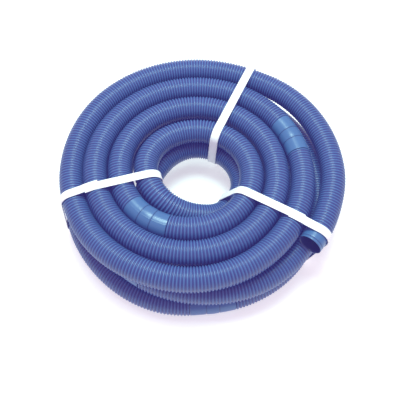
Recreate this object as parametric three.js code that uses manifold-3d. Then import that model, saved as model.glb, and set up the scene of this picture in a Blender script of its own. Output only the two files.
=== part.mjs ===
// A pool vacuum hose, coiled for storage and tied with three flat straps.
// Lengths are in mm, +Z is up, and the coil lies flat on its straps at z = 0.
// The hose is one run of six corrugated sections, joined by smooth double cuffs, with an
// open smooth cuff at each end. From its outer end it winds inwards through the top layer,
// outwards through the middle layer and inwards again through the bottom layer.
import * as THREE from "three";
import Module from "manifold-3d";

const manifold = await Module();
manifold.setup();

// ---- Hose ----
const TUBE_RADIUS = 20.7; // outside of a section, just under the 42 mm crests of its corrugations
const TUBE_WALL = 1.4; // thin wall that a section's weight is spread over
const TUBE_SIDES = 10;
const TUBE_STEP_DEGREES = 12; // the coil's turn between two rings of a section
const HOSE_LENGTH = 9170;
const JOINT_RUNS = [1572, 3108, 4624, 6139, 7655]; // from the outer mouth to each double cuff's middle
const END_GAP = 0.15; // half the gap between two pieces that meet end to end

// ---- Cuffs ----
const CUFF_RADIUS = 20.2;
const CUFF_BORE_RADIUS = 19; // slides over a 38 mm spigot
const CUFF_HALF_LENGTH = 36.5; // of a double cuff
const BELT_HALF_LENGTH = 10.5; // the belt between a double cuff's two grooves
const BELT_BULGE = 0.4;
const GROOVE_DEPTH = 0.6;
const GROOVE_HALF_WIDTH = 0.8;
const END_CUFF_LENGTH = 30;
const LIP_LENGTH = 4.5; // the plain lip in front of an end cuff's groove
const CUFF_SIDES = 16;
const CUFF_RING_SPACING = 10;

// ---- Coil ----
const START_AZIMUTH = -37; // where the outer end's mouth stands round the coil, in degrees
const LAYER_HEIGHT = 42.6; // from the middle of one layer to the middle of the next
const COIL_CENTRE_X = -13.43; // puts the middle of the footprint at x = y = 0
const COIL_CENTRE_Y = -9.57;
// Where the hose runs: [degrees round from the outer mouth, radius, layers below the top one].
const WAYPOINTS = [
  // top layer, four turns inwards
  [0, 235, 0.1],
  [20, 237, 0.07],
  [37, 240.5, 0.03],
  [80, 238, 0],
  [100, 231, 0],
  [127, 228.5, 0],
  [172, 220.5, 0],
  [215, 212, 0.17],
  [240, 208.3, 0.2],
  [275, 206, 0.03],
  [307, 204, 0],
  [357, 193, 0],
  [397, 188, 0],
  [487, 182.5, 0],
  [577, 170.3, 0],
  [667, 158.5, 0],
  [757, 143.5, 0],
  [847, 136, 0],
  [937, 127.5, 0],
  [1027, 115.8, 0],
  [1117, 99.5, 0],
  [1207, 82.5, 0],
  [1297, 82, 0],
  [1335, 78.5, 0.06],
  // down at the near side of the hole, then once round its wall
  [1387, 73, 0.7],
  [1430, 80.5, 1],
  [1471, 87, 1],
  [1500, 85, 1],
  [1530, 81, 1],
  [1567, 76.5, 1],
  [1620, 71.5, 1],
  [1660, 80.5, 1],
  // middle layer, outwards
  [1703, 103, 1],
  [1747, 117, 1],
  [1837, 133, 1],
  [1927, 133, 1],
  [2017, 134, 1],
  [2107, 160, 1],
  [2197, 175.5, 1],
  [2287, 176, 1],
  [2377, 177, 1],
  [2467, 206, 1],
  [2500, 217, 1],
  [2520, 219.5, 1.02],
  [2557, 221, 1.1],
  // down again on the outside of the coil
  [2647, 220.5, 1.48],
  [2737, 214, 2],
  [2777, 209.5, 2],
  // bottom layer, inwards
  [2810, 212, 2],
  [2833, 208, 2],
  [2850, 210.5, 2],
  [2880, 214, 2],
  [2927, 196, 2],
  [3007, 172, 2],
  [3097, 159, 2],
  [3187, 152, 2],
  [3277, 142, 2],
  [3380, 124, 2],
];

// ---- Straps ----
const STRAP_WIDTH = 15;
const STRAP_THICKNESS = 1;
const STRAP_INSIDE_RADIUS = 21.4; // the strap's inside, from the middle of the hose that it goes round
const STRAP_BEND_SIDES = 24;
const STRAP_MARGIN = 2; // the strap clears hose this far beyond its edges too
const LAP_LENGTH = 24;
const LAP_SIDE_SHIFT = -2; // the loose end lies slightly to one side
// A strap's plane stands at `azimuth`, `aside` to the left of the coil's axis.
const STRAPS = [
  { name: "strap_left", azimuth: 195, aside: 2, lapRadius: 176 },
  { name: "strap_top", azimuth: 65.4, aside: -8.6, lapRadius: null },
  { name: "strap_right", azimuth: -29.3, aside: -6.7, lapRadius: 196 },
];

const BOTTOM_HOSE_HEIGHT = STRAP_THICKNESS + STRAP_INSIDE_RADIUS;
const TOP_HOSE_HEIGHT = BOTTOM_HOSE_HEIGHT + 2 * LAYER_HEIGHT;

const blue = new THREE.MeshStandardMaterial({ color: 0x2f5fa8, roughness: 0.45 });
const cuffBlue = new THREE.MeshStandardMaterial({ color: 0x3a72b8, roughness: 0.3 });
const white = new THREE.MeshStandardMaterial({ color: 0xf2f3f5, roughness: 0.5 });

const group = new THREE.Group();

function addNode(name, geometry, material) {
  const mesh = new THREE.Mesh(geometry, material);
  mesh.name = name;
  group.add(mesh);
}

// ---- Route ----

// Slope of column `column` at waypoint i, for a smooth curve through all of the waypoints that
// doesn't swing past any of them.
function waypointSlope(i, column) {
  const slopeBetween = (a, b) =>
    (WAYPOINTS[b][column] - WAYPOINTS[a][column]) / (WAYPOINTS[b][0] - WAYPOINTS[a][0]);
  const last = WAYPOINTS.length - 1;
  if (i === 0) return slopeBetween(0, 1);
  if (i === last) return slopeBetween(last - 1, last);
  const slopeBefore = slopeBetween(i - 1, i);
  const slopeAfter = slopeBetween(i, i + 1);
  if (slopeBefore * slopeAfter <= 0) return 0;
  const before = WAYPOINTS[i][0] - WAYPOINTS[i - 1][0];
  const after = WAYPOINTS[i + 1][0] - WAYPOINTS[i][0];
  return (after * slopeBefore + before * slopeAfter) / (before + after);
}

// Column `column` of the route, `turn` degrees round from the outer mouth.
function routeValue(turn, column) {
  let i = 0;
  while (i < WAYPOINTS.length - 2 && WAYPOINTS[i + 1][0] <= turn) i += 1;
  const span = WAYPOINTS[i + 1][0] - WAYPOINTS[i][0];
  const t = (turn - WAYPOINTS[i][0]) / span;
  const start = WAYPOINTS[i][column];
  const end = WAYPOINTS[i + 1][column];
  const startPull = waypointSlope(i, column) * span;
  const endPull = waypointSlope(i + 1, column) * span;
  return (
    (1 + 2 * t) * (1 - t) ** 2 * start +
    t * (1 - t) ** 2 * startPull +
    t ** 2 * (3 - 2 * t) * end +
    t ** 2 * (t - 1) * endPull
  );
}

const routeRadius = (turn) => routeValue(turn, 1);
const routeHeight = (turn) => TOP_HOSE_HEIGHT - LAYER_HEIGHT * routeValue(turn, 2);

function routePoint(turn) {
  const azimuth = THREE.MathUtils.degToRad(START_AZIMUTH + turn);
  const radius = routeRadius(turn);
  return new THREE.Vector3(
    COIL_CENTRE_X + radius * Math.cos(azimuth),
    COIL_CENTRE_Y + radius * Math.sin(azimuth),
    routeHeight(turn),
  );
}

// The way that the hose runs on at `turn`.
function routeForward(turn) {
  return routePoint(turn + 0.5).sub(routePoint(turn - 0.5)).normalize();
}

// The run of hose up to each whole degree round the coil.
const runAtDegree = [0];
const lastDegree = WAYPOINTS[WAYPOINTS.length - 1][0];
for (let degree = 1; degree <= lastDegree; degree += 1) {
  const step = routePoint(degree).distanceTo(routePoint(degree - 1));
  runAtDegree.push(runAtDegree[degree - 1] + step);
}

// Degrees round the coil at `run` mm along the hose.
function turnAtRun(run) {
  let degree = 0;
  while (degree < lastDegree - 1 && runAtDegree[degree + 1] < run) degree += 1;
  return degree + (run - runAtDegree[degree]) / (runAtDegree[degree + 1] - runAtDegree[degree]);
}

// Lays a straight piece, made along Y with `run` at y = 0, along the hose's route.
function layAlongRoute(geometry, run) {
  const position = geometry.getAttribute("position");
  const up = new THREE.Vector3();
  for (let i = 0; i < position.count; i += 1) {
    const turn = turnAtRun(run + position.getY(i));
    const forward = routeForward(turn);
    up.set(0, 0, 1).addScaledVector(forward, -forward.z).normalize();
    const outward = forward.clone().cross(up);
    const point = routePoint(turn)
      .addScaledVector(outward, position.getX(i))
      .addScaledVector(up, position.getZ(i));
    position.setXYZ(i, point.x, point.y, point.z);
  }
  geometry.computeVertexNormals();
  return geometry;
}

// A hollow round piece from its outside profile, [distance along, radius] from start to end.
function hollowPiece(outside, boreRadius, sides) {
  const profile = outside.map(([along, radius]) => new THREE.Vector2(radius, along));
  const bore = outside.map(([along]) => new THREE.Vector2(boreRadius, along)).reverse();
  profile.push(...bore, profile[0].clone());
  return new THREE.LatheGeometry(profile, sides);
}

// ---- Corrugated sections ----
function makeSection(startRun, endRun) {
  const startTurn = turnAtRun(startRun);
  const endTurn = turnAtRun(endRun);
  const steps = Math.ceil((endTurn - startTurn) / TUBE_STEP_DEGREES);
  const middle = (startRun + endRun) / 2;
  const outside = [];
  for (let i = 0; i <= steps; i += 1) {
    const along = startRun + ((endRun - startRun) * i) / steps - middle;
    outside.push([along, TUBE_RADIUS]);
  }
  return layAlongRoute(hollowPiece(outside, TUBE_RADIUS - TUBE_WALL, TUBE_SIDES), middle);
}

// ---- Cuffs ----

// A ring groove at `middle`, as four points of an outside profile.
function groove(middle) {
  return [
    [middle - GROOVE_HALF_WIDTH, CUFF_RADIUS],
    [middle - GROOVE_HALF_WIDTH / 3, CUFF_RADIUS - GROOVE_DEPTH],
    [middle + GROOVE_HALF_WIDTH / 3, CUFF_RADIUS - GROOVE_DEPTH],
    [middle + GROOVE_HALF_WIDTH, CUFF_RADIUS],
  ];
}

// Plain rings every CUFF_RING_SPACING or less from `start` up to and with `end`.
function plainRings(start, end) {
  const count = Math.ceil((end - start) / CUFF_RING_SPACING);
  const rings = [];
  for (let i = 0; i <= count; i += 1) {
    rings.push([start + ((end - start) * i) / count, CUFF_RADIUS]);
  }
  return rings;
}

function makeDoubleCuff(run) {
  const half = CUFF_HALF_LENGTH - END_GAP;
  const outside = [
    ...plainRings(-half, -BELT_HALF_LENGTH - 2 * GROOVE_HALF_WIDTH),
    ...groove(-BELT_HALF_LENGTH),
    [0, CUFF_RADIUS + BELT_BULGE],
    ...groove(BELT_HALF_LENGTH),
    ...plainRings(BELT_HALF_LENGTH + 2 * GROOVE_HALF_WIDTH, half),
  ];
  return layAlongRoute(hollowPiece(outside, CUFF_BORE_RADIUS, CUFF_SIDES), run);
}

// An end cuff with its mouth at `mouthRun`; `inwards` is 1 if the hose runs on from it, or -1.
function makeEndCuff(mouthRun, inwards) {
  const outside = [
    [0, CUFF_RADIUS],
    ...groove(LIP_LENGTH),
    ...plainRings(LIP_LENGTH + 2 * GROOVE_HALF_WIDTH, END_CUFF_LENGTH - END_GAP),
  ].map(([along, radius]) => [along * inwards, radius]);
  if (inwards < 0) outside.reverse();
  return layAlongRoute(hollowPiece(outside, CUFF_BORE_RADIUS, CUFF_SIDES), mouthRun);
}

// ---- Straps ----

// Corners of the convex outline round `points`, anticlockwise.
function convexHull(points) {
  const sorted = [...points].sort((a, b) => a.x - b.x || a.y - b.y);
  const turnsLeft = (a, b, c) => (b.x - a.x) * (c.y - a.y) - (b.y - a.y) * (c.x - a.x) > 1e-9;
  const chain = (list) => {
    const kept = [];
    for (const point of list) {
      while (kept.length > 1 && !turnsLeft(kept[kept.length - 2], kept[kept.length - 1], point)) {
        kept.pop();
      }
      kept.push(point);
    }
    kept.pop();
    return kept;
  };
  return [...chain(sorted), ...chain(sorted.reverse())];
}

// The taut outline round every turn of hose that crosses a strap, `distance` from its middle.
function tautOutline({ azimuth, aside }, distance) {
  const angle = THREE.MathUtils.degToRad(azimuth);
  const along = new THREE.Vector3(Math.cos(angle), Math.sin(angle), 0);
  const across = new THREE.Vector3(-along.y, along.x, 0);
  const axis = new THREE.Vector3(COIL_CENTRE_X, COIL_CENTRE_Y, 0).addScaledVector(across, aside);
  const points = [];
  for (let turn = 0; turn <= turnAtRun(HOSE_LENGTH); turn += 1) {
    const hoseMiddle = routePoint(turn).sub(axis);
    const isUnderStrap = Math.abs(hoseMiddle.dot(across)) < STRAP_WIDTH / 2 + STRAP_MARGIN;
    if (hoseMiddle.dot(along) < 0 || !isUnderStrap) continue;
    // The hose is wider along the strap where it crosses it aslant.
    const reach = distance / Math.abs(routeForward(turn).dot(across));
    for (let side = 0; side < STRAP_BEND_SIDES; side += 1) {
      const bend = (side * 2 * Math.PI) / STRAP_BEND_SIDES;
      points.push(
        new THREE.Vector2(
          hoseMiddle.dot(along) + reach * Math.cos(bend),
          hoseMiddle.z + distance * Math.sin(bend),
        ),
      );
    }
  }
  return convexHull(points);
}

function toSolid(geometry) {
  const position = geometry.getAttribute("position");
  const vertProperties = new Float32Array(position.array);
  const triVerts = geometry.index
    ? new Uint32Array(geometry.index.array)
    : new Uint32Array(position.count).map((_, i) => i);
  const mesh = new manifold.Mesh({ numProp: 3, vertProperties, triVerts });
  mesh.merge();
  return new manifold.Manifold(mesh);
}

function toGeometry(solid) {
  const mesh = solid.getMesh();
  const geometry = new THREE.BufferGeometry();
  geometry.setAttribute("position", new THREE.BufferAttribute(mesh.vertProperties, 3));
  geometry.setIndex(new THREE.BufferAttribute(mesh.triVerts, 1));
  geometry.computeVertexNormals();
  return geometry;
}

// A band `thickness` thick whose inside clears the hose's middle by `distance`, standing in the
// XZ plane with the coil's axis at x = 0.
function makeBand(strap, distance, thickness) {
  const shape = new THREE.Shape(tautOutline(strap, distance + thickness));
  shape.holes.push(new THREE.Path(tautOutline(strap, distance)));
  const band = new THREE.ExtrudeGeometry(shape, { depth: STRAP_WIDTH, bevelEnabled: false });
  band.translate(0, 0, -STRAP_WIDTH / 2);
  return band.rotateX(Math.PI / 2);
}

// A closed strap. Where its ends lap, a second layer lies on the first.
function makeStrap(strap) {
  let band = makeBand(strap, STRAP_INSIDE_RADIUS, STRAP_THICKNESS);
  if (strap.lapRadius !== null) {
    const halfLayer = STRAP_THICKNESS / 2;
    const layer = makeBand(strap, STRAP_INSIDE_RADIUS + halfLayer, STRAP_THICKNESS + halfLayer);
    const cutter = new THREE.BoxGeometry(LAP_LENGTH, 2 * STRAP_WIDTH, LAYER_HEIGHT);
    cutter.translate(strap.lapRadius, 0, TOP_HOSE_HEIGHT + STRAP_INSIDE_RADIUS);
    const lap = toSolid(layer).intersect(toSolid(cutter)).translate([0, LAP_SIDE_SHIFT, 0]);
    band = toGeometry(toSolid(band).add(lap));
  }
  band.translate(0, strap.aside, 0);
  band.rotateZ(THREE.MathUtils.degToRad(strap.azimuth));
  return band.translate(COIL_CENTRE_X, COIL_CENTRE_Y, 0);
}

// ---- Assembly ----
addNode("end_cuff_outer", makeEndCuff(0, 1), cuffBlue);
const sectionStarts = [END_CUFF_LENGTH, ...JOINT_RUNS.map((run) => run + CUFF_HALF_LENGTH)];
const sectionEnds = [
  ...JOINT_RUNS.map((run) => run - CUFF_HALF_LENGTH),
  HOSE_LENGTH - END_CUFF_LENGTH,
];
sectionStarts.forEach((start, i) => {
  const section = makeSection(start + END_GAP, sectionEnds[i] - END_GAP);
  addNode(`hose_section_${i + 1}`, section, blue);
});
JOINT_RUNS.forEach((run, i) => addNode(`double_cuff_${i + 1}`, makeDoubleCuff(run), cuffBlue));
addNode("end_cuff_inner", makeEndCuff(HOSE_LENGTH, -1), cuffBlue);
for (const strap of STRAPS) addNode(strap.name, makeStrap(strap), white);

export default group;
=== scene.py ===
"""A pool vacuum hose, coiled for storage and tied with three flat straps.

Lengths are in metres, +Z is up, and the coil lies flat on its straps at z = 0. The hose winds
inwards through the top layer, outwards through the middle one and inwards again through the
bottom one. Its six corrugated sections meet in smooth double cuffs, and each end is an open cuff.
"""

import math

import bpy
import numpy as np
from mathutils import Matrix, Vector


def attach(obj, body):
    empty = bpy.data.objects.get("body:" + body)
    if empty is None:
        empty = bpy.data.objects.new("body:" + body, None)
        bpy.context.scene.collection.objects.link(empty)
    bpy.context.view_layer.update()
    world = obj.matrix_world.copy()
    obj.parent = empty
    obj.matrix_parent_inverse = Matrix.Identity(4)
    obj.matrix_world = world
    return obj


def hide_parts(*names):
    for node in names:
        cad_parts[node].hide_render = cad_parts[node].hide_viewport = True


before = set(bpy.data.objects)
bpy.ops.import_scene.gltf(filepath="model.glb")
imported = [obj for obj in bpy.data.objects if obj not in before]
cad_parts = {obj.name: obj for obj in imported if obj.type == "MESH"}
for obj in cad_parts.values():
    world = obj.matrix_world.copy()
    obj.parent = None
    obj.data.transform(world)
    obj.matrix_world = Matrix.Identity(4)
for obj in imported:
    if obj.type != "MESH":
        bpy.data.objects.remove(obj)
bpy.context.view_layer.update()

MM = 0.001

# ---- Hose ----
CREST_RADIUS = 21.0 * MM
ROOT_RADIUS = 18.9 * MM
HOSE_WALL = 0.7 * MM
RIB_PITCH = 5.15 * MM
# One rib's outside, as (share of its pitch, share of its height), from groove to groove.
RIB_OUTSIDE = [(0, 0), (0.17, 0.2), (0.33, 0.75), (0.5, 1), (0.67, 0.75), (0.83, 0.2)]
RIB_INSIDE = [(0, 0), (0.5, 1)]
HOSE_SIDES = 36
HOSE_LENGTH = 9.17
# Runs from the outer mouth to the middle of each double cuff.
JOINT_RUNS = [1.572, 3.108, 4.624, 6.139, 7.655]
END_GAP = 0.15 * MM  # half the gap between two pieces that meet end to end

# ---- Cuffs ----
CUFF_RADIUS = 20.2 * MM
CUFF_BORE_RADIUS = 19 * MM
CUFF_HALF_LENGTH = 36.5 * MM  # of a double cuff
CUFF_EDGE = 0.5 * MM  # rounding of a cuff's edges
BELT_HALF_LENGTH = 10.5 * MM  # the belt between a double cuff's two grooves
BELT_BULGE = 0.4 * MM
GROOVE_DEPTH = 0.9 * MM
GROOVE_HALF_WIDTH = 1.2 * MM
# Plain surface left beside a groove, on the belt's side and on the other side.
BELT_SIDE_MARGIN = 0.2 * MM
END_SIDE_MARGIN = 0.5 * MM
PAINTED_SHADE_DEPTH = 1.62 * MM  # painted shade: a cuff's colour goes fully dark this far below its outside
END_CUFF_LENGTH = 30 * MM
LIP_LENGTH = 4.5 * MM  # the plain lip in front of an end cuff's groove
CUFF_SIDES = 64
CUFF_RING_SPACING = 2.5 * MM
MOULD_LINE_ANGLES = (68, 248)  # degrees round the cuff
MOULD_LINE_HEIGHT = 0.12 * MM
MOULD_LINE_WIDTH = 0.03  # radians round the cuff

# ---- Coil ----
START_AZIMUTH = -37  # where the outer end's mouth stands round the coil, in degrees
LAYER_HEIGHT = 42.6 * MM  # from the middle of one layer to the middle of the next
COIL_CENTRE = Vector((-13.43, -9.57, 0)) * MM
# Where the hose runs: (degrees round from the outer mouth, radius, layers below the top one).
WAYPOINTS = [
    # top layer, four turns inwards
    (0, 0.235, 0.1),
    (20, 0.237, 0.07),
    (37, 0.2405, 0.03),
    (80, 0.238, 0),
    (100, 0.231, 0),
    (127, 0.2285, 0),
    (172, 0.2205, 0),
    (215, 0.212, 0.17),
    (240, 0.2083, 0.2),
    (275, 0.206, 0.03),
    (307, 0.204, 0),
    (357, 0.193, 0),
    (397, 0.188, 0),
    (487, 0.1825, 0),
    (577, 0.1703, 0),
    (667, 0.1585, 0),
    (757, 0.1435, 0),
    (847, 0.136, 0),
    (937, 0.1275, 0),
    (1027, 0.1158, 0),
    (1117, 0.0995, 0),
    (1207, 0.0825, 0),
    (1297, 0.082, 0),
    (1335, 0.0785, 0.06),
    # down at the near side of the hole, then once round its wall
    (1387, 0.073, 0.7),
    (1430, 0.0805, 1),
    (1471, 0.087, 1),
    (1500, 0.085, 1),
    (1530, 0.081, 1),
    (1567, 0.0765, 1),
    (1620, 0.0715, 1),
    (1660, 0.0805, 1),
    # middle layer, outwards
    (1703, 0.103, 1),
    (1747, 0.117, 1),
    (1837, 0.133, 1),
    (1927, 0.133, 1),
    (2017, 0.134, 1),
    (2107, 0.16, 1),
    (2197, 0.1755, 1),
    (2287, 0.176, 1),
    (2377, 0.177, 1),
    (2467, 0.206, 1),
    (2500, 0.217, 1),
    (2520, 0.2195, 1.02),
    (2557, 0.221, 1.1),
    # down again on the outside of the coil
    (2647, 0.2205, 1.48),
    (2737, 0.214, 2),
    (2777, 0.2095, 2),
    # bottom layer, inwards
    (2810, 0.212, 2),
    (2833, 0.208, 2),
    (2850, 0.2105, 2),
    (2880, 0.214, 2),
    (2927, 0.196, 2),
    (3007, 0.172, 2),
    (3097, 0.159, 2),
    (3187, 0.152, 2),
    (3277, 0.142, 2),
    (3380, 0.124, 2),
]
CORD_POINT_SPACING = 10 * MM

# ---- Straps ----
STRAP_WIDTH = 15 * MM
STRAP_THICKNESS = 1 * MM
STRAP_INSIDE_RADIUS = 21.4 * MM  # from the middle of the hose that the strap goes round
STRAP_BEND_SIDES = 72
STRAP_MARGIN = 2 * MM  # the strap clears hose this far beyond its edges too
STRAP_STEP = 2 * MM
LAP_LENGTH = 24 * MM
LAP_RISE = 6 * MM  # run in which the loose end climbs onto the strap below it
LAP_LIFT = 1.02 * STRAP_THICKNESS  # just clear of the strap below it
LAP_SIDE_SHIFT = -2 * MM  # the loose end lies slightly to one side
# A strap's cross-section, as (share of its half width, share of its thickness).
STRAP_SECTION = [
    (-1, 0.5),
    (-0.97, 0.97),
    (-0.5, 1),
    (0, 1),
    (0.5, 1),
    (0.97, 0.97),
    (1, 0.5),
    (0.97, 0.03),
    (0.5, 0),
    (-0.5, 0),
    (-0.97, 0.03),
]
BOTTOM_HOSE_HEIGHT = STRAP_THICKNESS + STRAP_INSIDE_RADIUS
TOP_HOSE_HEIGHT = BOTTOM_HOSE_HEIGHT + 2 * LAYER_HEIGHT
STRAP_TOP = TOP_HOSE_HEIGHT + STRAP_INSIDE_RADIUS
# Part, the azimuth of the strap's plane in degrees, how far that plane stands to the left of the
# coil's axis, and where the strap's ends lap, as (distance along the plane, height).
STRAPS = [
    ("strap_left", 195, 2 * MM, (0.176, STRAP_TOP)),
    ("strap_top", 65.4, -8.6 * MM, (0.255, TOP_HOSE_HEIGHT - LAYER_HEIGHT)),
    ("strap_right", -29.3, -6.7 * MM, (0.196, STRAP_TOP)),
]

# ---- Camera ----
CAMERA_TARGET = Vector((COIL_CENTRE.x, COIL_CENTRE.y, TOP_HOSE_HEIGHT))
CAMERA_DISTANCE = 1.1
CAMERA_ELEVATION = 57  # degrees
CAMERA_LENS = 57.3  # mm, on a 36 mm sensor
CAMERA_SHIFT = (0.0163, -0.0758)

# ---- Light ----
# A greenish light from above and a violet sky add up to white on the floor. The hose's tops turn
# cyan and its sides violet.
SKY_COLOUR = (1.12, 0.78, 1.1)
SKY_STRENGTH = 0.6
KEY_PLACE = (0, 0.25, 1.7)
KEY_SIZE = 0.8
KEY_POWER = 33  # watts
KEY_COLOUR = (0.78, 1.16, 1)
FLOOR_HALF_SIDE = 6
FLOOR_GLOW = 0.55  # keeps the paper near white in the shade
# A painted violet glow on the hose and cuffs, which lifts their shaded sides and bore.
PAINTED_GLOW_COLOUR = (0.24, 0.17, 1)
PAINTED_GLOW_STRENGTH = 0.085
PLASTIC_IOR = 1.5
NOISE_DETAIL = 3


# ---- Camera, floor and light ----
def add_camera():
    data = bpy.data.cameras.new("camera")
    data.lens = CAMERA_LENS
    data.shift_x, data.shift_y = CAMERA_SHIFT
    camera = bpy.data.objects.new("camera", data)
    elevation = math.radians(CAMERA_ELEVATION)
    back = Vector((0, -math.cos(elevation), math.sin(elevation)))
    camera.location = CAMERA_TARGET + back * CAMERA_DISTANCE
    camera.rotation_euler = (-back).to_track_quat("-Z", "Y").to_euler()
    bpy.context.scene.collection.objects.link(camera)
    bpy.context.scene.camera = camera


def add_key_light():
    """A square soft box overhead that faces the coil."""
    data = bpy.data.lights.new("overhead", "AREA")
    data.shape = "SQUARE"
    data.size = KEY_SIZE
    data.energy = KEY_POWER
    data.color = KEY_COLOUR
    light = bpy.data.objects.new("overhead", data)
    light.location = KEY_PLACE
    towards_coil = CAMERA_TARGET - Vector(KEY_PLACE)
    light.rotation_euler = towards_coil.to_track_quat("-Z", "Y").to_euler()
    bpy.context.scene.collection.objects.link(light)


def add_surroundings():
    world = bpy.data.worlds.new("studio")
    world.use_nodes = True
    background = world.node_tree.nodes["Background"]
    background.inputs["Color"].default_value = (*SKY_COLOUR, 1)
    background.inputs["Strength"].default_value = SKY_STRENGTH
    bpy.context.scene.world = world
    bpy.context.scene.view_settings.view_transform = "Standard"

    add_key_light()

    mesh = bpy.data.meshes.new("floor")
    side = FLOOR_HALF_SIDE
    corners = [(-side, -side, 0), (side, -side, 0), (side, side, 0), (-side, side, 0)]
    mesh.from_pydata(corners, [], [(0, 1, 2, 3)])
    mesh.materials.append(floor_material())
    floor = bpy.data.objects.new("floor", mesh)
    bpy.context.scene.collection.objects.link(floor)


# ---- Materials ----
def new_material(name):
    """An empty node material, with its Principled shader."""
    material = bpy.data.materials.new(name)
    material.use_nodes = True
    return material, material.node_tree, material.node_tree.nodes["Principled BSDF"]


def add_node(tree, kind, settings=None, **inputs):
    """A node of `kind` with its properties from `settings`.

    Each input is a number, or the socket that feeds it.
    """
    node = tree.nodes.new(kind)
    for key, value in (settings or {}).items():
        setattr(node, key, value)
    for key, value in inputs.items():
        socket = node.inputs[key.replace("_", " ")]
        if isinstance(value, bpy.types.NodeSocket):
            tree.links.new(value, socket)
        else:
            socket.default_value = value
    return node


def noise(tree, scale):
    """Noise over the object's own coordinates, where `scale` is in blotches per metre."""
    place = add_node(tree, "ShaderNodeTexCoord").outputs["Object"]
    made = add_node(tree, "ShaderNodeTexNoise", Vector=place, Scale=scale, Detail=NOISE_DETAIL)
    return made.outputs["Fac"]


def between(tree, factor, low, high):
    """A number that goes from `low` to `high` as `factor` goes from 0 to 1."""
    made = add_node(tree, "ShaderNodeMapRange", Value=factor, To_Min=low, To_Max=high)
    return made.outputs["Result"]


def mixed_colour(tree, factor, first, second):
    """A colour between `first` and `second`, each a colour or the socket that feeds it."""
    made = add_node(tree, "ShaderNodeMix", {"data_type": "RGBA"})
    colour_sockets = [s for s in made.inputs if s.type == "RGBA"]
    tree.links.new(factor, made.inputs["Factor"])
    for socket, value in zip(colour_sockets, (first, second)):
        if isinstance(value, bpy.types.NodeSocket):
            tree.links.new(value, socket)
        else:
            socket.default_value = (*value, 1)
    return next(s for s in made.outputs if s.type == "RGBA")


def add_bump(tree, shader, height, distance, strength=1.0):
    made = add_node(tree, "ShaderNodeBump", Height=height, Distance=distance, Strength=strength)
    tree.links.new(made.outputs["Normal"], shader.inputs["Normal"])


def paint_violet_glow(shader):
    """Painted violet glow, so the plastic's shaded sides and bore look violet, not black."""
    shader.inputs["Emission Color"].default_value = (*PAINTED_GLOW_COLOUR, 1)
    shader.inputs["Emission Strength"].default_value = PAINTED_GLOW_STRENGTH


def hose_material():
    """Blue corrugated polyethylene with painted shade in its grooves and a painted violet glow."""
    material, tree, shader = new_material("hose_plastic")
    rise = add_node(tree, "ShaderNodeAttribute", {"attribute_name": "rise"}).outputs["Fac"]
    blotches = noise(tree, 14)
    # Painted shade: the groove colour is darker, and `rise` blends it up to the crest colour.
    groove = mixed_colour(tree, blotches, (0.026, 0.03, 0.12), (0.032, 0.036, 0.15))
    crest = mixed_colour(tree, blotches, (0.056, 0.13, 0.28), (0.07, 0.154, 0.32))
    tree.links.new(mixed_colour(tree, rise, groove, crest), shader.inputs["Base Color"])
    tree.links.new(between(tree, noise(tree, 160), 0.28, 0.38), shader.inputs["Roughness"])
    shader.inputs["IOR"].default_value = PLASTIC_IOR
    paint_violet_glow(shader)
    add_bump(tree, shader, noise(tree, 900), 0.05 * MM)
    return material


def cuff_material():
    """Smooth moulded blue plastic, glossier than the hose; grooves and bore get painted shade."""
    material, tree, shader = new_material("cuff_plastic")
    rise = add_node(tree, "ShaderNodeAttribute", {"attribute_name": "rise"}).outputs["Fac"]
    blotches = noise(tree, 25)
    surface = mixed_colour(tree, blotches, (0.044, 0.12, 0.25), (0.052, 0.136, 0.275))
    # Painted shade: this dark colour darkens the cuff's grooves and bore, blended in by `rise`.
    groove = mixed_colour(tree, blotches, (0.01, 0.008, 0.05), (0.014, 0.012, 0.06))
    tree.links.new(mixed_colour(tree, rise, groove, surface), shader.inputs["Base Color"])
    tree.links.new(between(tree, noise(tree, 90), 0.26, 0.34), shader.inputs["Roughness"])
    shader.inputs["IOR"].default_value = PLASTIC_IOR
    # Painted light: a faint violet glow lifts the cuff's shaded sides and bore.
    paint_violet_glow(shader)
    add_bump(tree, shader, noise(tree, 350), 0.06 * MM)
    return material


def strap_material():
    """White plastic strapping, embossed with fine slanting ribs."""
    material, tree, shader = new_material("strap_plastic")
    blotches = noise(tree, 40)
    colour = mixed_colour(tree, blotches, (0.86, 0.87, 0.89), (0.93, 0.93, 0.94))
    tree.links.new(colour, shader.inputs["Base Color"])
    tree.links.new(between(tree, noise(tree, 200), 0.4, 0.55), shader.inputs["Roughness"])
    uv = add_node(tree, "ShaderNodeTexCoord").outputs["UV"]
    weave = add_node(
        tree,
        "ShaderNodeTexWave",
        {"wave_type": "BANDS", "bands_direction": "DIAGONAL"},
        Vector=uv,
        Scale=250,
        Distortion=0.3,
    )
    add_bump(tree, shader, weave.outputs["Fac"], 0.08 * MM, 0.6)
    return material


def floor_material():
    """Plain pale paper."""
    material, tree, shader = new_material("floor_paper")
    blotches = noise(tree, 3)
    colour = mixed_colour(tree, blotches, (0.66, 0.67, 0.66), (0.68, 0.69, 0.68))
    tree.links.new(colour, shader.inputs["Base Color"])
    shader.inputs["Roughness"].default_value = 0.9
    shader.inputs["Specular IOR Level"].default_value = 0
    shader.inputs["Emission Color"].default_value = (1, 1, 1, 1)
    shader.inputs["Emission Strength"].default_value = FLOOR_GLOW
    return material


# ---- Route ----
TURNS, RADII, LAYERS = np.array(WAYPOINTS, float).T


def waypoint_slopes(values):
    """Slopes at the waypoints, for a smooth curve that doesn't swing past any of them."""
    between_waypoints = np.diff(values) / np.diff(TURNS)
    slopes = np.zeros(len(values))
    slopes[0] = between_waypoints[0]
    slopes[-1] = between_waypoints[-1]
    for i in range(1, len(values) - 1):
        slope_before, slope_after = between_waypoints[i - 1 : i + 1]
        if slope_before * slope_after > 0:
            before, after = np.diff(TURNS)[i - 1 : i + 1]
            slopes[i] = (after * slope_before + before * slope_after) / (before + after)
    return slopes


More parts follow.
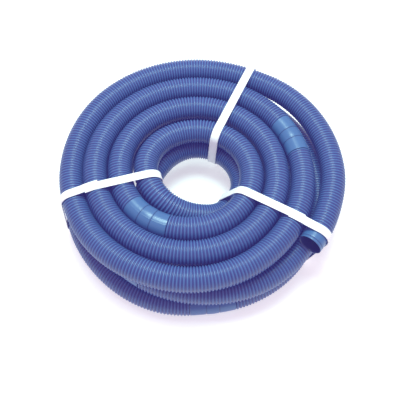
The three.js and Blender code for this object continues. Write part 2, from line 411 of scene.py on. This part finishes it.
def along_waypoints(turns, values):
    """The smooth curve through `values` at the waypoints, `turns` degrees from the outer mouth."""
    slopes = waypoint_slopes(values)
    i = np.clip(np.searchsorted(TURNS, turns, side="right") - 1, 0, len(TURNS) - 2)
    span = TURNS[i + 1] - TURNS[i]
    t = (turns - TURNS[i]) / span
    return (
        (1 + 2 * t) * (1 - t) ** 2 * values[i]
        + t * (1 - t) ** 2 * slopes[i] * span
        + t**2 * (3 - 2 * t) * values[i + 1]
        + t**2 * (t - 1) * slopes[i + 1] * span
    )


def route_radius(turns):
    return along_waypoints(turns, RADII)


def route_height(turns):
    return TOP_HOSE_HEIGHT - LAYER_HEIGHT * along_waypoints(turns, LAYERS)


def route_points(turns):
    azimuth = np.radians(START_AZIMUTH + turns)
    radius = route_radius(turns)
    x = COIL_CENTRE.x + radius * np.cos(azimuth)
    y = COIL_CENTRE.y + radius * np.sin(azimuth)
    return np.stack([x, y, route_height(turns)], axis=1)


DEGREES = np.arange(TURNS[-1] + 1)
STEPS = np.linalg.norm(np.diff(route_points(DEGREES), axis=0), axis=1)
RUN_AT_DEGREE = np.concatenate([[0], np.cumsum(STEPS)])


def turns_at(runs):
    """Degrees round the coil at `runs` metres along the hose."""
    return np.interp(runs, RUN_AT_DEGREE, DEGREES)


def unit(vectors):
    return vectors / np.linalg.norm(vectors, axis=-1, keepdims=True)


def route_frames(runs):
    """The hose's middle at `runs`, and its directions away from the coil's axis and up."""
    turns = turns_at(runs)
    forward = unit(route_points(turns + 0.5) - route_points(turns - 0.5))
    up = unit(np.array([0, 0, 1]) - forward * forward[:, 2:])
    return route_points(turns), np.cross(forward, up), up


# ---- Round pieces ----
def add_mesh(part, points, faces, material):
    """A smooth-shaded piece that stands in for the plain solid called `part`."""
    name = f"detailed_{part}"
    mesh = bpy.data.meshes.new(name)
    mesh.from_pydata(points.tolist(), [], faces)
    mesh.materials.append(material)
    mesh.polygons.foreach_set("use_smooth", np.ones(len(mesh.polygons), bool))
    piece = bpy.data.objects.new(name, mesh)
    bpy.context.scene.collection.objects.link(piece)
    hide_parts(part)
    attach(piece, "root")
    return piece


def ring_faces(ring_count, sides):
    """Quads between neighbouring rings, and from the last ring back to the first."""
    rings = np.arange(ring_count)[:, None]
    corners = np.arange(sides)[None, :]
    next_rings = (rings + 1) % ring_count
    next_corners = (corners + 1) % sides
    quads = [
        rings * sides + corners,
        next_rings * sides + corners,
        next_rings * sides + next_corners,
        rings * sides + next_corners,
    ]
    return np.stack(quads, axis=-1).reshape(-1, 4).tolist()


def add_round_piece(part, profile, run, angles, proud, material, colours):
    """A hollow piece laid along the hose from `run` on.

    profile: (distance along, radius) pairs, along the outside and back along the bore.
    proud: how far the surface stands out at each of `angles`.
    colours: the radii at which the surface has the full painted shade of a groove and the unshaded
    colour of a crest. The attribute `rise`, which the materials read to paint that shade, goes from 0
    at the first to 1 at the second.
    """
    along, radius = np.array(profile, float).T
    middle, outward, up = route_frames(run + along)
    reach = radius[:, None] + proud[None, :]
    points = (
        middle[:, None]
        + outward[:, None] * (reach * np.cos(angles))[:, :, None]
        + up[:, None] * (reach * np.sin(angles))[:, :, None]
    )
    faces = ring_faces(len(profile), len(angles))
    piece = add_mesh(part, points.reshape(-1, 3), faces, material)
    groove_radius, crest_radius = colours
    # How far each ring stands out of the painted shade: 0 at the groove radius, 1 at the crest
    # radius.
    rise = ((radius - groove_radius) / (crest_radius - groove_radius)).clip(0, 1)
    attribute = piece.data.attributes.new("rise", "FLOAT", "POINT")
    attribute.data.foreach_set("value", np.repeat(rise, len(angles)))
    return piece


# ---- Corrugated sections ----
def ribs(shape, rib_count, pitch, root_radius):
    """`rib_count` ribs of `shape` and the groove that ends the last one, as (along, radius) pairs."""
    rib_height = CREST_RADIUS - ROOT_RADIUS
    profile = [
        ((rib + share) * pitch, root_radius + height * rib_height)
        for rib in range(rib_count)
        for share, height in shape
    ]
    return profile + [(rib_count * pitch, root_radius)]


def add_section(part, start, end, material):
    rib_count = round((end - start) / RIB_PITCH)
    pitch = (end - start) / rib_count
    outside = ribs(RIB_OUTSIDE, rib_count, pitch, ROOT_RADIUS)
    inside = ribs(RIB_INSIDE, rib_count, pitch, ROOT_RADIUS - HOSE_WALL)
    profile = outside + inside[::-1]
    angles = np.arange(HOSE_SIDES) * 2 * math.pi / HOSE_SIDES
    proud = np.zeros(HOSE_SIDES)
    # Painted shade, from the dark groove colour at the root to the crest colour at the crest.
    colours = (ROOT_RADIUS, CREST_RADIUS)
    return add_round_piece(part, profile, start, angles, proud, material, colours)


# ---- Cuffs ----
def groove(middle):
    """A ring groove round a cuff, as (along, radius) pairs."""
    shares = [(-1, 0), (-0.6, 0.35), (-0.25, 0.9), (0, 1), (0.25, 0.9), (0.6, 0.35), (1, 0)]
    return [
        (middle + across * GROOVE_HALF_WIDTH, CUFF_RADIUS - depth * GROOVE_DEPTH)
        for across, depth in shares
    ]


def plain_rings(start, end, bulge=0.0):
    """Rings from `start` to `end`, which stand out by `bulge` halfway."""
    count = math.ceil((end - start) / CUFF_RING_SPACING)
    shares = np.linspace(0, 1, count + 1)
    return [
        (start + (end - start) * share, CUFF_RADIUS + bulge * math.sin(math.pi * share))
        for share in shares
    ]


def rounded_edge(along, outwards):
    """The outer corner of a cuff's end at `along`, where `outwards` is the way the end faces."""
    corner = []
    for angle in np.linspace(0, math.pi / 2, 4):
        inset = CUFF_EDGE * (1 - math.sin(angle))
        drop = CUFF_EDGE * (1 - math.cos(angle))
        corner.append((along - outwards * inset, CUFF_RADIUS - drop))
    return corner if outwards > 0 else corner[::-1]


def cuff_angles():
    """Angles round a cuff, and how far it stands out there for its two fine mould lines."""
    angles = list(np.arange(CUFF_SIDES) * 2 * math.pi / CUFF_SIDES + math.pi / CUFF_SIDES)
    proud = [0.0] * CUFF_SIDES
    for seam in np.radians(MOULD_LINE_ANGLES):
        for offset, height in ((-1, 0), (-0.4, 1), (0.4, 1), (1, 0)):
            angles.append(seam + offset * MOULD_LINE_WIDTH / 2)
            proud.append(height * MOULD_LINE_HEIGHT)
    order = np.argsort(angles)
    return np.array(angles)[order], np.array(proud)[order]


def add_cuff(part, outside, run, material):
    """A cuff from its outside profile. Its bore is straight."""
    start, end = outside[0][0], outside[-1][0]
    bore = [(along, CUFF_BORE_RADIUS) for along, _ in plain_rings(start, end)]
    angles, proud = cuff_angles()
    profile = outside + bore[::-1]
    # Painted shade, which darkens the cuff's grooves and bore.
    colours = (CUFF_RADIUS - PAINTED_SHADE_DEPTH, CUFF_RADIUS)
    return add_round_piece(part, profile, run, angles, proud, material, colours)


def add_double_cuff(part, run, material):
    half = CUFF_HALF_LENGTH - END_GAP
    outer_edge = BELT_HALF_LENGTH + GROOVE_HALF_WIDTH + END_SIDE_MARGIN
    inner_edge = BELT_HALF_LENGTH - GROOVE_HALF_WIDTH - BELT_SIDE_MARGIN
    outside = [
        *rounded_edge(-half, -1),
        *plain_rings(-half + 2 * CUFF_EDGE, -outer_edge),
        *groove(-BELT_HALF_LENGTH),
        *plain_rings(-inner_edge, inner_edge, BELT_BULGE),
        *groove(BELT_HALF_LENGTH),
        *plain_rings(outer_edge, half - 2 * CUFF_EDGE),
        *rounded_edge(half, 1),
    ]
    return add_cuff(part, outside, run, material)


def add_end_cuff(part, mouth_run, inwards, material):
    """An end cuff with its mouth at `mouth_run`; `inwards` is 1 if the hose runs on there, or -1."""
    outside = [
        *rounded_edge(0, -1),
        *plain_rings(2 * CUFF_EDGE, LIP_LENGTH - 2 * GROOVE_HALF_WIDTH),
        *groove(LIP_LENGTH),
        *plain_rings(LIP_LENGTH + 2 * GROOVE_HALF_WIDTH, END_CUFF_LENGTH - END_GAP),
    ]
    outside = [(along * inwards, radius) for along, radius in outside]
    if inwards < 0:
        outside.reverse()
    return add_cuff(part, outside, mouth_run, material)


# ---- Straps ----
def convex_hull(points):
    """Corners of the convex outline round `points`, anticlockwise."""

    def turns_left(a, b, c):
        return (b[0] - a[0]) * (c[1] - a[1]) - (b[1] - a[1]) * (c[0] - a[0]) > 1e-12

    def chain(ordered):
        kept = []
        for point in ordered:
            while len(kept) > 1 and not turns_left(kept[-2], kept[-1], point):
                kept.pop()
            kept.append(point)
        return kept[:-1]

    ordered = sorted(points)
    return np.array(chain(ordered) + chain(ordered[::-1]))


def taut_outline(along, across, axis, distance):
    """The taut outline round every turn of hose under a strap, `distance` from its middle.

    The strap's plane holds `axis` and the direction `along`, and `across` stands square to it.
    The outline is made of (distance along the plane, height) pairs.
    """
    turns = np.arange(0, turns_at(HOSE_LENGTH))
    middles = route_points(turns) - axis
    forward = unit(route_points(turns + 0.5) - route_points(turns - 0.5))
    under = np.abs(middles @ across) < STRAP_WIDTH / 2 + STRAP_MARGIN
    under &= middles @ along > 0
    reach = distance / np.abs(forward[under] @ across)  # wider where the hose crosses aslant
    bend = np.arange(STRAP_BEND_SIDES) * 2 * math.pi / STRAP_BEND_SIDES
    place = (middles[under] @ along)[:, None] + reach[:, None] * np.cos(bend)
    height = middles[under][:, 2:] + distance * np.sin(bend)
    return convex_hull(zip(place.ravel().tolist(), height.ravel().tolist()))


def smooth_step(values, low, high):
    share = np.clip((values - low) / (high - low), 0, 1)
    return share**2 * (3 - 2 * share)


def add_strap(part, azimuth, aside, lap_place, material):
    """A strip once round the coil, whose loose end laps over its start near `lap_place`."""
    angle = math.radians(azimuth)
    along = np.array([math.cos(angle), math.sin(angle), 0])
    across = np.array([-math.sin(angle), math.cos(angle), 0])
    axis = np.array(COIL_CENTRE) + aside * across
    outline = taut_outline(along, across, axis, STRAP_INSIDE_RADIUS)
    outline = np.vstack([outline, outline[:1]])
    sides = np.linalg.norm(np.diff(outline, axis=0), axis=1)
    distance_at_corner = np.concatenate([[0], np.cumsum(sides)])
    perimeter = distance_at_corner[-1]

    def outline_at(distances):
        wrapped = np.mod(distances, perimeter)
        return np.stack([np.interp(wrapped, distance_at_corner, c) for c in outline.T], axis=1)

    distances = np.arange(0, perimeter, STRAP_STEP)
    nearest = np.linalg.norm(outline_at(distances) - lap_place, axis=1).argmin()
    start = distances[nearest] - LAP_LENGTH / 2
    length = perimeter + LAP_LENGTH
    run = np.linspace(0, length, round(length / STRAP_STEP) + 1)
    place = outline_at(start + run)
    forward = unit(outline_at(start + run + STRAP_STEP) - outline_at(start + run - STRAP_STEP))
    away = np.stack([forward[:, 1], -forward[:, 0]], axis=1)
    climb = smooth_step(run, perimeter - LAP_RISE, perimeter) * LAP_LIFT
    shift = LAP_SIDE_SHIFT * smooth_step(run, 0, perimeter)

    width_share, rise = np.array(STRAP_SECTION).T
    side = shift[:, None] + width_share * STRAP_WIDTH / 2
    lift = climb[:, None] + rise * STRAP_THICKNESS
    reach = place[:, :1] + away[:, :1] * lift
    height = place[:, 1:] + away[:, 1:] * lift
    points = axis + reach[..., None] * along + side[..., None] * across
    points[..., 2] += height
    points = points.reshape(-1, 3)

    corner_count = len(STRAP_SECTION)
    closed = ring_faces(len(run), corner_count)
    faces = closed[:-corner_count]
    faces.append(list(range(corner_count))[::-1])
    faces.append(list(range(len(points) - corner_count, len(points))))
    piece = add_mesh(part, points, faces, material)

    uv = piece.data.uv_layers.new(name="strap")
    corners = np.zeros(len(piece.data.loops), int)
    piece.data.loops.foreach_get("vertex_index", corners)
    uv_points = np.stack([np.broadcast_to(run[:, None], side.shape), side], axis=-1)
    uv.data.foreach_set("uv", uv_points.reshape(-1, 2)[corners].ravel())
    return piece


# ---- Assembly ----
add_camera()
add_surroundings()
hose_plastic = hose_material()
cuff_plastic = cuff_material()
strap_plastic = strap_material()

inner_end = add_end_cuff("end_cuff_inner", HOSE_LENGTH, -1, cuff_plastic)
cuffs = [add_end_cuff("end_cuff_outer", 0, 1, cuff_plastic), inner_end]
for i, run in enumerate(JOINT_RUNS):
    cuffs.append(add_double_cuff(f"double_cuff_{i + 1}", run, cuff_plastic))

starts = [END_CUFF_LENGTH] + [run + CUFF_HALF_LENGTH for run in JOINT_RUNS]
ends = [run - CUFF_HALF_LENGTH for run in JOINT_RUNS] + [HOSE_LENGTH - END_CUFF_LENGTH]
for i, (start, end) in enumerate(zip(starts, ends)):
    start, end = start + END_GAP, end - END_GAP
    section = add_section(f"hose_section_{i + 1}", start, end, hose_plastic)
    point_count = round((end - start) / CORD_POINT_SPACING) + 1
    path = route_points(turns_at(np.linspace(start, end, point_count)))
for part, azimuth, aside, lap_place in STRAPS:
    add_strap(part, azimuth, aside, lap_place, strap_plastic)
